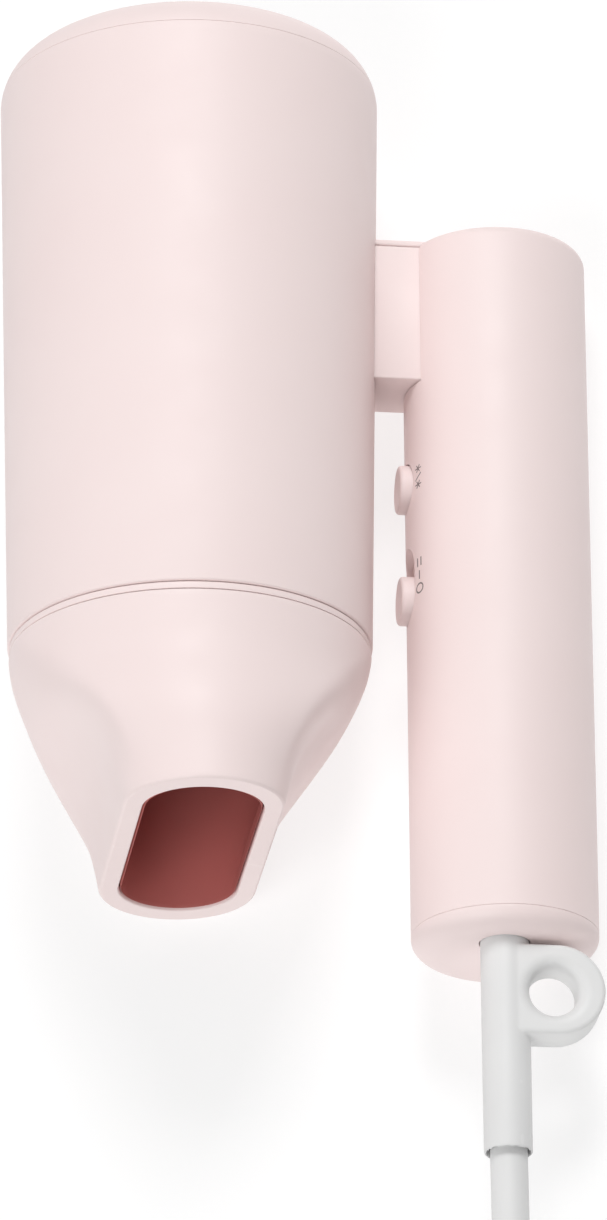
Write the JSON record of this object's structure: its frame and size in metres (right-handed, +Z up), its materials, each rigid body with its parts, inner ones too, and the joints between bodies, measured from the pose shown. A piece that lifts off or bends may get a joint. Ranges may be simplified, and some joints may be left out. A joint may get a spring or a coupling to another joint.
{
  "type": "folding hair dryer",
  "caption": "Compact folding hair dryer, folded flat: tapered barrel with flat slot nozzle, hinged round handle with slide switch and push button, hang loop, mains lead with plug.",
  "frame": {"origin": "on the ground, under the middle of the folded dryer's bounding box, without the mains lead", "axes": "dryer folded and lying on its side: +Y along the barrel and the handle, from the nozzle and the cord end to the intake; +X from the barrel towards the handle; +Z up"},
  "size_m": [0.1287, 0.377, 0.0665],
  "materials": {
    "pink_plastic": "fine satin, pale pink",
    "maroon_plastic": "satin, dark red-brown",
    "grey_soft_plastic": "soft satin, light grey",
    "black_plastic": "satin black",
    "steel": "plain",
    "brass": "plain",
    "cream_plastic": "plain",
    "mica": "layered sheet",
    "resistance_wire": "heat-tinted",
    "rubber": "plain",
    "board": "coated board"
  },
  "bodies": {
    "handle": {"handle_shell": "pink_plastic", "handle_cap": "pink_plastic", "hinge_fork": "black_plastic", "hinge_pin": "steel", "hinge_washer_upper": "brass", "hinge_washer_lower": "brass", "pin_clip_upper": "steel", "pin_clip_lower": "steel", "switch_board": "board", "board_screw_1": "steel", "board_screw_2": "steel", "power_switch": "black_plastic", "cool_switch": "black_plastic", "handle_leads": "cream_plastic", "cord_clamp": "black_plastic", "clamp_screw_1": "steel", "clamp_screw_2": "steel", "cord_tail": "grey_soft_plastic", "strain_relief": "grey_soft_plastic", "power_cord": "grey_soft_plastic", "cord_end": "grey_soft_plastic", "cord_coil": "grey_soft_plastic", "coil_tie": "black_plastic", "plug_body": "grey_soft_plastic", "plug_pin_left": "brass", "plug_pin_right": "brass"},
    "barrel": {"barrel_shell": "pink_plastic", "rear_cap": "pink_plastic", "intake_grille": "pink_plastic", "dust_mesh": "steel", "air_duct": "black_plastic", "heat_shield": "mica", "outlet_grille": "black_plastic", "heater_boards": "mica", "heating_coil_1": "resistance_wire", "heating_coil_2": "resistance_wire", "heating_coil_3": "resistance_wire", "heating_coil_4": "resistance_wire", "heating_coil_5": "resistance_wire", "thermostat": "steel", "thermal_fuse": "cream_plastic", "motor_holder": "black_plastic", "motor_sleeve": "rubber", "motor_can": "steel", "hinge_arm": "pink_plastic", "hinge_arm_cover": "pink_plastic", "arm_screw_1": "steel", "arm_screw_2": "steel", "arm_screw_3": "steel", "arm_screw_4": "steel", "barrel_leads": "cream_plastic"},
    "fan": {"fan": "black_plastic", "motor_shaft": "steel"},
    "nozzle_seat": {"nozzle_seat_ring": "pink_plastic"},
    "nozzle": {"nozzle_shell": "pink_plastic", "nozzle_liner": "maroon_plastic"},
    "power_knob": {"power_knob": "pink_plastic"},
    "cool_button": {"cool_button": "pink_plastic"}
  },
  "joints": [
    {"name": "handle_fold", "type": "hinge", "parent": "handle", "child": "barrel", "pos_m": [0.03312, 0.05415, 0.01605], "axis": [-0.3194, 0, -0.9476], "range_deg": [0, 90]},
    {"name": "fan_spin", "type": "hinge", "parent": "barrel", "child": "fan", "pos_m": [-0.01791, 0.0826, 0.03325], "axis": [0, 1, 0], "continuous": true},
    {"name": "nozzle_turn", "type": "hinge", "parent": "barrel", "child": "nozzle_seat", "pos_m": [-0.01791, -0.0092, 0.03325], "axis": [0, 1, 0], "continuous": true},
    {"name": "nozzle_pull", "type": "slide", "parent": "nozzle_seat", "child": "nozzle", "axis": [0, -1, 0], "range_m": [0, 0.012]},
    {"name": "power_slide", "type": "slide", "parent": "handle", "child": "power_knob", "axis": [0, 1, 0], "range_m": [0, 0.0049]},
    {"name": "cool_press", "type": "slide", "parent": "handle", "child": "cool_button", "axis": [0.9476, 0, -0.3194], "range_m": [0, 0.0012], "stiffness_N_per_m": 600}
  ]
}
